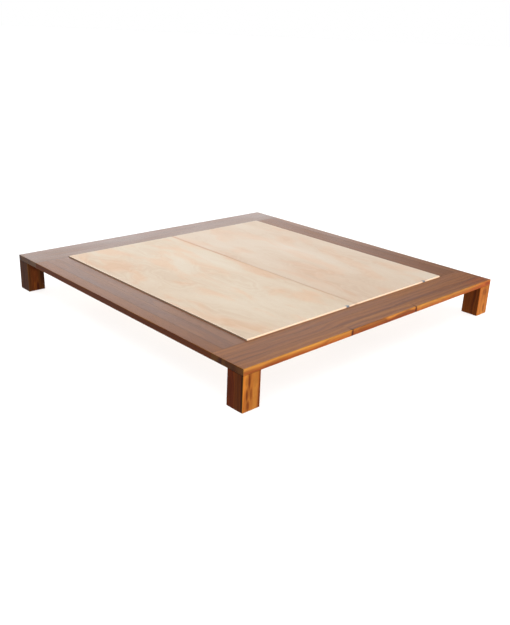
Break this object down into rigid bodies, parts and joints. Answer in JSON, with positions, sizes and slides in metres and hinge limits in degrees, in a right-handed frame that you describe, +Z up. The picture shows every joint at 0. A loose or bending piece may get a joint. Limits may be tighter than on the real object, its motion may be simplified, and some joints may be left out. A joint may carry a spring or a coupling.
{
  "type": "platform bed frame",
  "caption": "Low square-edged platform bed frame: a wide flat wooden border on short square corner legs around lift-out plywood deck panels.",
  "frame": {"origin": "on the floor, under the middle of the frame", "axes": "+Z up, +Y towards the head end, +X towards the right side seen from the foot"},
  "size_m": [2.1, 2.15, 0.231],
  "materials": {
    "border_timber": "satin lacquered reddish-brown hardwood",
    "inner_timber": "planed, unfinished",
    "plywood": "sanded, unfinished",
    "dowel_wood": "plain",
    "tab_steel": "bare, satin",
    "bracket_steel": "zinc-plated",
    "zinc_hardware": "zinc-plated",
    "glide": "matte"
  },
  "bodies": {
    "bed_frame": {"foot_board_inner_stave": "border_timber", "foot_board_middle_stave": "border_timber", "foot_board_outer_stave_left": "border_timber", "foot_board_outer_stave_centre": "border_timber", "foot_board_outer_stave_right": "border_timber", "head_board_inner_stave": "border_timber", "head_board_middle_stave": "border_timber", "head_board_outer_stave": "border_timber", "left_board_inner_stave": "border_timber", "left_board_middle_stave": "border_timber", "left_board_outer_stave": "border_timber", "right_board_inner_stave": "border_timber", "right_board_middle_stave": "border_timber", "right_board_outer_stave": "border_timber", "leg_foot_left": "border_timber", "leg_foot_right": "border_timber", "leg_head_left": "border_timber", "leg_head_right": "border_timber", "foot_apron": "inner_timber", "head_apron": "inner_timber", "left_apron": "inner_timber", "right_apron": "inner_timber", "left_bearer": "inner_timber", "centre_bearer": "inner_timber", "right_bearer": "inner_timber", "centre_foot": "inner_timber", "cross_batten_1": "inner_timber", "cross_batten_2": "inner_timber", "cross_batten_3": "inner_timber", "cross_batten_4": "inner_timber", "cross_batten_5": "inner_timber", "cross_batten_6": "inner_timber", "cross_batten_7": "inner_timber", "corner_bracket_foot_left": "bracket_steel", "corner_bracket_foot_right": "bracket_steel", "corner_bracket_head_left": "bracket_steel", "corner_bracket_head_right": "bracket_steel", "hanger_bolts": "zinc_hardware", "hanger_washers": "zinc_hardware", "hanger_nuts": "zinc_hardware", "bearer_brackets": "bracket_steel", "bracket_screws": "zinc_hardware", "board_screws": "zinc_hardware", "batten_screws": "zinc_hardware", "board_dowels": "dowel_wood", "leg_dowels": "dowel_wood", "leg_glides": "glide"},
    "left_deck_panel": {"left_panel": "plywood", "left_lift_tab": "tab_steel", "left_tab_screws": "zinc_hardware"},
    "right_deck_panel": {"right_panel": "plywood", "right_lift_tab": "tab_steel", "right_tab_screws": "zinc_hardware"}
  },
  "joints": [
    {"name": "left_panel_lift", "type": "slide", "parent": "bed_frame", "child": "left_deck_panel", "axis": [0, 0, 1], "range_m": [0, 0.15]},
    {"name": "right_panel_lift", "type": "slide", "parent": "bed_frame", "child": "right_deck_panel", "axis": [0, 0, 1], "range_m": [0, 0.15]}
  ]
}
